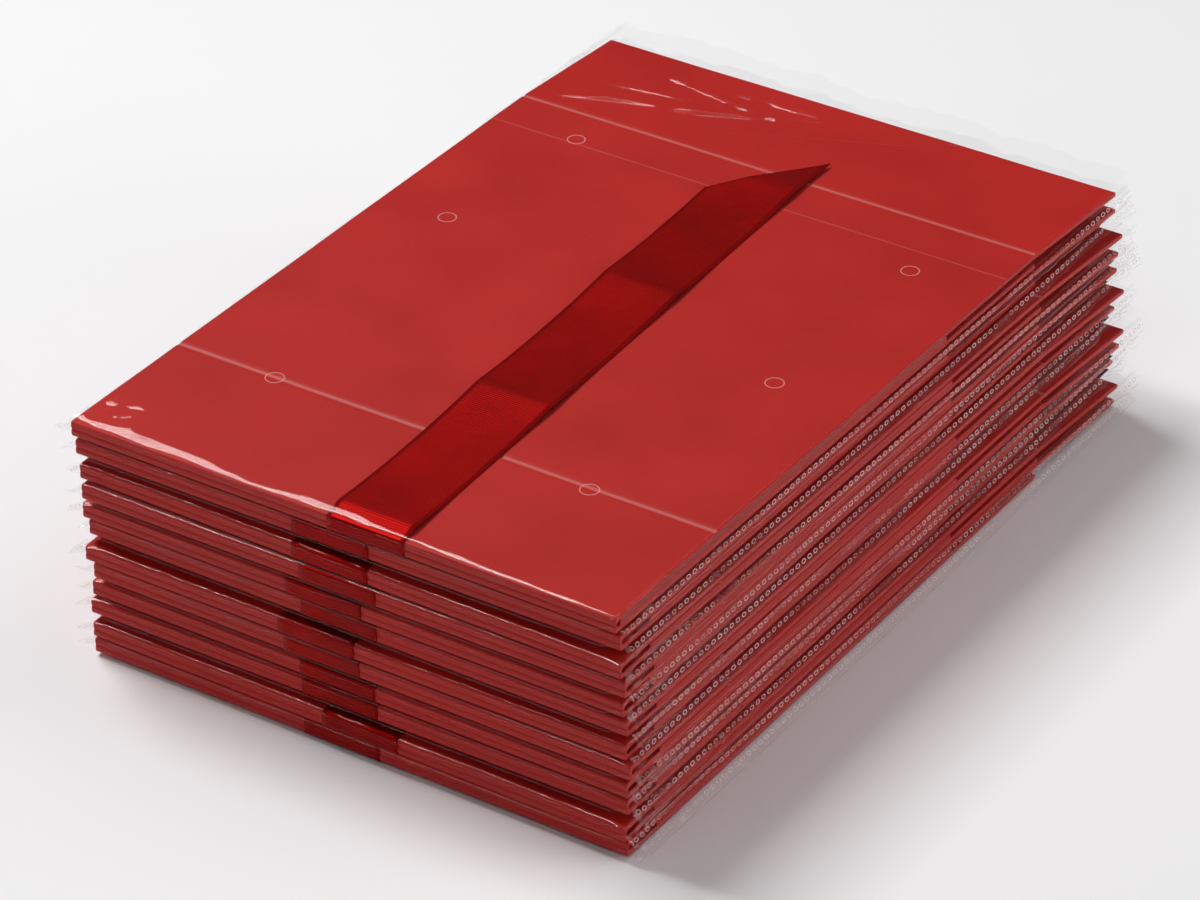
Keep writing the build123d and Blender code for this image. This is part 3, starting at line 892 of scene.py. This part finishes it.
def build_sleeve(number):
    """Two film sheets that meet in the near fold and in the seams. Height is the seam's or fold's level, plus
    the rise across times the rise along times the way to the panel's level; wrinkles are added outwards."""
    props = settings().film
    top_pack = number == PACKS
    rng = np.random.default_rng(900 + number)
    x_line, x_rise, way_line = across_stations(2.6 if top_pack else 6.0)
    y_line, y_rise, shoulder = along_stations(*((3.4, 0.85) if top_pack else (9.0, 9.0)))
    x, y = np.meshgrid(x_line, y_line)
    plan_x, plan_y = round_the_vents(x, y)
    x, y = plan_x.copy(), plan_y.copy()
    way = np.broadcast_to(way_line, x.shape)
    across, along = np.broadcast_to(x_rise, x.shape), np.broadcast_to(y_rise[:, None], x.shape)
    fade = nose_fade(y)
    seam = FOLD_LEVEL + (SEAM_LEVEL - FOLD_LEVEL) * smooth_step(np.abs(x), 125, 135) + lean(number) * fade

    # the shoulder at the hinge edge is looser in some places than in others
    loose = 1.5 * smooth_noise(x, rng, 5, 150.0) + 0.5 * smooth_noise(x, rng, 3, 26.0)
    y = y + shoulder[:, None] * across * np.maximum(loose, -1.2)
    belly = np.abs(smooth_noise(x + 3 * along, rng, 4, 75.0)) * np.sin(np.pi * np.clip(along, 0, 1))
    y = y - 0.55 * belly * across * (y < 6)

    # seams hang from the walls, and crush into ears at the hinge edge
    columns = int((way_line[: len(way_line) // 2] > 0).sum()) + 1
    hang = seam_hang(y[:, :1], way[:, :columns], number, rng)
    hang_right = seam_hang(y[:, :1], way[:, -columns:], number, rng)
    drop = np.zeros_like(x)
    x[:, :columns] = -FILM_HALF - hang[0][0]
    drop[:, :columns] = hang[0][1]
    x[:, -columns:] = FILM_HALF + hang_right[1][0]
    drop[:, -columns:] = hang_right[1][1]
    ear = np.exp(-((y - FILM_NEAR) / 7.0) ** 2) * smooth_step(np.abs(plan_x), 126, 141)
    crush = [crumple(plan_x + 31 * i, plan_y, rng, 5, 7.0) for i in range(3)]
    tail = smooth_step(plan_y, FLUTTER_START, FILM_MOUTH)
    flutter = tail * smooth_noise(plan_x * 0.8 + plan_y * 0.5, rng, 5, 80.0)
    ragged = 4.5 * tail * smooth_noise(plan_x, rng, 5, 110.0) - 2.0 * tail

    grids = []
    for part, panel in ((1, FILM_HIGH - 0.5 * fade), (-1, FILM_LOW + 0.5 * fade)):
        level = panel + lean(number) * fade
        z = seam + (level - seam) * across * along - drop
        inner = across * along
        hug = smooth_step(plan_y, 414, 426) * (SEAM_LEVEL - level) * 0.1 * across
        pucker = np.exp(-np.abs(y - 3) / 12) * np.maximum(crumple(plan_x, plan_y * 1.6, rng, 5, 34.0), 0)
        # only the uppermost sheet has room to flutter; the others stay clear of a box that is drawn past them
        room = props.mouth_flare / MM if top_pack and part == 1 else 0.5
        z = z + hug + part * room * np.maximum(part * flutter, -0.15) * across + part * 0.35 * pucker * inner
        z = z + part * 0.04 * crumple(plan_x, plan_y, rng, 6, 40.0) * inner
        if top_pack and part == 1:
            z = z + (top_wrinkles(plan_x, plan_y) + ribbon_crown(plan_x, plan_y)) * inner
        slit = 0.03 * part * (way < SEAM_WIDTH) * (along > 0) * (across == 0)
        points = np.stack([x + np.sign(x) * ear * 1.5 * crush[0], y - ear * 1.2 * np.abs(crush[1]) + ragged,
                           z + slit + ear * 1.6 * crush[2]], -1)
        if number == 1:
            points[..., 2] = np.maximum(points[..., 2], 0.05 + 0.04 * (part + 1))
        faces = quads(*x.shape, flip=part == -1)
        plan = np.stack([np.where(across > 0, plan_x, np.sign(plan_x) * (FILM_HALF + way)),
                         plan_y - FOLD_PLAN * (1 - along)], -1)
        if part == 1:
            faces = open_vents(faces, plan_x, plan_y)
        grids.append((to_stack(points, number), faces, plan))
    name = f"sleeve_{number:02d}"
    piece = add_piece(f"{name}_film", grids, "film", f"film_{number:02d}", outward=False)
    # clear film this thin throws no shadow worth having, and its many layers would stop the light
    piece.visible_shadow = False
    piece.visible_diffuse = False
    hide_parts(name)
    return piece


def ribbon_crown(x, y):
    """How far the top film stands up over the ribbon's folds: a bell across, eased in and out along."""
    height = settings().ribbon.wave / MM - 0.45
    along = smooth_step(y, -1, 9) * (1 - smooth_step(y, 366, 392))
    return height * np.exp(-(np.abs(x - 9) / 44.0) ** 4) * along


# Wrinkles of the top film: middle x and y, heading in degrees from +x, length, width and height, in mm
WRINKLES = (
    (-58, 384, -6, 100, 1.0, 1.6), (-69, 364, 19, 120, 1.0, 1.6), (-52, 356, 34, 150, 1.0, 1.6),
    (-7, 368, 27, 160, 1.0, 1.5), (-95, 411, 0, 90, 1.1, 1.2), (-38, 374, 24, 160, 0.9, 1.4),
    (-86, 372, 12, 84, 0.9, 1.3), (16, 378, 30, 124, 0.9, 1.3), (-30, 392, 6, 110, 0.9, 1.2),
    (-98, 356, 26, 64, 0.9, 1.3), (44, 402, 8, 130, 1.2, 1.0), (-50, 378, 40, 66, 0.8, 1.3),
    (84, 130, 16, 64, 1.8, 0.5), (100, 98, 12, 50, 1.6, 0.5), (76, 156, 20, 40, 1.6, 0.4),
    (112, 52, 8, 40, 1.6, 0.6), (92, 38, 4, 60, 1.8, 0.6), (-118, 14, 40, 26, 1.4, 1.8),
    (0, 3.4, 0, 420, 2.6, 0.7), (-96, 5, 3, 110, 2.6, 1.3), (-128, 10, 52, 30, 1.6, 2.2),
    (-120, 22, 20, 34, 1.3, 2.0), (-126, 24, 66, 26, 1.2, 1.6), (-106, 8, 16, 40, 1.3, 1.7),
    (-78, 6, 4, 44, 1.3, 1.2), (124, 12, 120, 22, 1.3, 1.4),
    (122, 200, 84, 120, 1.6, 0.4), (127, 90, 88, 90, 1.4, 0.4), (-126, 150, 86, 130, 1.6, 0.4),
)


def top_wrinkles(x, y):
    """Sum of long narrow ridges: a peaked curve across each wrinkle times a bell along it."""
    total = np.zeros_like(x)
    for mid_x, mid_y, heading, length, width, height in WRINKLES:
        cos, sin = math.cos(math.radians(heading)), math.sin(math.radians(heading))
        along = (x - mid_x) * cos + (y - mid_y) * sin
        across = -(x - mid_x) * sin + (y - mid_y) * cos + 1.4 * np.sin(along / 21.0)
        total += 0.88 * height * np.exp(-(along / length * 2.2) ** 2 - np.abs(across / width) ** 1.3)
    return total


# ---- stage

FLOOR_HALF = 4.0
MIDDLE = (0.0, 0.0, 0.06)

# Name, place, target, width and height, power in watts. The key and its strip stand high on the left, where
# the film's raised folds mirror them; the fills are low and wide, to reach under the edges
LIGHTS = (
    ("key_softbox", (-1.36, 0.14, 2.50), MIDDLE, (1.2, 1.2), 53.0),
    ("key_strip", (-1.0, -0.25, 1.9), MIDDLE, (0.09, 1.1), 6.0),
    ("top_fill", (1.0, 0.9, 2.1), MIDDLE, (1.6, 1.6), 9.0),
    ("right_fill", (1.9, 0.7, 0.6), MIDDLE, (1.4, 0.8), 13.0),
    ("front_fill", (0.2, -1.8, 2.2), (0.1, -0.6, 0.0), (1.4, 1.0), 8.0),
    ("front_strip", (-1.0, -1.6, 1.0), MIDDLE, (1.1, 0.05), 2.0),
)
WORLD_COLOUR, WORLD_STRENGTH = (0.95, 0.97, 1.0, 1.0), 0.05


def paper_floor_material(tone):
    """Seamless white background paper: matte, almost even."""
    material, tree = new_material("Background paper")
    cloud = node(tree, NOISE, {"Vector": mm_coords(tree, 400), "Scale": 1.0, "Detail": 2.0})
    value = node(tree, RANGE, {"Value": cloud, "To Min": tone - 0.01, "To Max": tone + 0.01})
    tint = node(tree, VECTOR, {0: (0.995, 0.99, 1.0), "Scale": value}, operation="SCALE")
    return finish_material(material, node(tree, PRINCIPLED, {
        "Base Color": tint, "Roughness": 0.8, "Specular IOR Level": 0.2}))


def aim(obj, target):
    """Turns an object so that its -z axis points at a target, with its y axis as near up as it can be."""
    direction = Vector(target) - obj.location
    obj.rotation_euler = direction.to_track_quat("-Z", "Y").to_euler()


def area_light(name, place, target, size, power):
    data = bpy.data.lights.new(name, "AREA")
    data.shape = "RECTANGLE"
    data.size, data.size_y = size
    data.energy = power
    light = bpy.data.objects.new(name, data)
    light.location = place
    bpy.context.collection.objects.link(light)
    aim(light, target)


def build_stage():
    props = settings().stage
    # floor
    corners = [(x * FLOOR_HALF, y * FLOOR_HALF, 0) for x, y in ((-1, -1), (1, -1), (1, 1), (-1, 1))]
    mesh = bpy.data.meshes.new("floor")
    mesh.from_pydata(corners, [], [(0, 1, 2, 3)])
    floor = bpy.data.objects.new("floor", mesh)
    mesh.materials.append(paper_floor_material(props.floor_tone))
    bpy.context.collection.objects.link(floor)
    for light in LIGHTS:
        area_light(*light)
    world = bpy.data.worlds.new("Studio")
    world.use_nodes = True
    background = world.node_tree.nodes["Background"]
    background.inputs[0].default_value = WORLD_COLOUR
    background.inputs[1].default_value = WORLD_STRENGTH
    bpy.context.scene.world = world
    # white paper and saturated red come out as set, with no filmic curve
    bpy.context.scene.view_settings.view_transform = "Standard"
    # camera
    data = bpy.data.cameras.new("camera")
    data.sensor_width = 36.0
    data.lens = props.focal
    data.clip_end = 20.0
    camera = bpy.data.objects.new("camera", data)
    camera.location = props.camera_place
    camera.rotation_euler = (math.pi / 2 - props.elevation, 0, props.azimuth)
    bpy.context.collection.objects.link(camera)
    bpy.context.scene.camera = camera


# ---- operators

class GIFTSTACK_OT_boxes(bpy.types.Operator):
    """Builds the cover paper and boards of every box"""
    bl_idname = "gift_stack.boxes"
    bl_label = "Boxes"

    def execute(self, context):
        for number in range(1, PACKS + 1):
            build_box_cover(number)
            if number < PACKS:
                build_boards(number)
        finish_top_nodes()
        return {"FINISHED"}


class GIFTSTACK_OT_ribbons(bpy.types.Operator):
    """Builds the ribbon of every box"""
    bl_idname = "gift_stack.ribbons"
    bl_label = "Ribbons"

    def execute(self, context):
        for number in range(1, PACKS + 1):
            build_ribbon(number)
        return {"FINISHED"}


class GIFTSTACK_OT_sleeves(bpy.types.Operator):
    """Builds the film sleeve of every box"""
    bl_idname = "gift_stack.sleeves"
    bl_label = "Film sleeves"

    def execute(self, context):
        for number in range(1, PACKS + 1):
            build_sleeve(number)
        return {"FINISHED"}


class GIFTSTACK_OT_stage(bpy.types.Operator):
    """Builds the floor, lights and camera"""
    bl_idname = "gift_stack.stage"
    bl_label = "Stage"

    def execute(self, context):
        build_stage()
        return {"FINISHED"}


class GIFTSTACK_PT_panel(bpy.types.Panel):
    """Sizes, colours and builders of the gift box stack"""
    bl_idname = "GIFTSTACK_PT_panel"
    bl_label = "Gift Boxes"
    bl_space_type = "VIEW_3D"
    bl_region_type = "UI"
    bl_category = "Gift Boxes"

    def draw(self, context):
        layout = self.layout
        for group in (settings().box, settings().ribbon, settings().film, settings().stage):
            for key in group.bl_rna.properties.keys():
                if key not in ("rna_type", "name"):
                    layout.prop(group, key)
        for operator in OPERATORS:
            layout.operator(operator.bl_idname)


OPERATORS = (GIFTSTACK_OT_boxes, GIFTSTACK_OT_ribbons, GIFTSTACK_OT_sleeves, GIFTSTACK_OT_stage)
CLASSES = (BoxSettings, RibbonSettings, FilmSettings, StageSettings, StackSettings, *OPERATORS,
           GIFTSTACK_PT_panel)


def register():
    for cls in CLASSES:
        bpy.utils.register_class(cls)
    bpy.types.Scene.gift_stack = PointerProperty(type=StackSettings)


def unregister():
    del bpy.types.Scene.gift_stack
    for cls in reversed(CLASSES):
        bpy.utils.unregister_class(cls)


def main():
    register()
    bpy.ops.gift_stack.boxes()
    bpy.ops.gift_stack.ribbons()
    bpy.ops.gift_stack.sleeves()
    bpy.ops.gift_stack.stage()


if __name__ == "__main__":
    main()
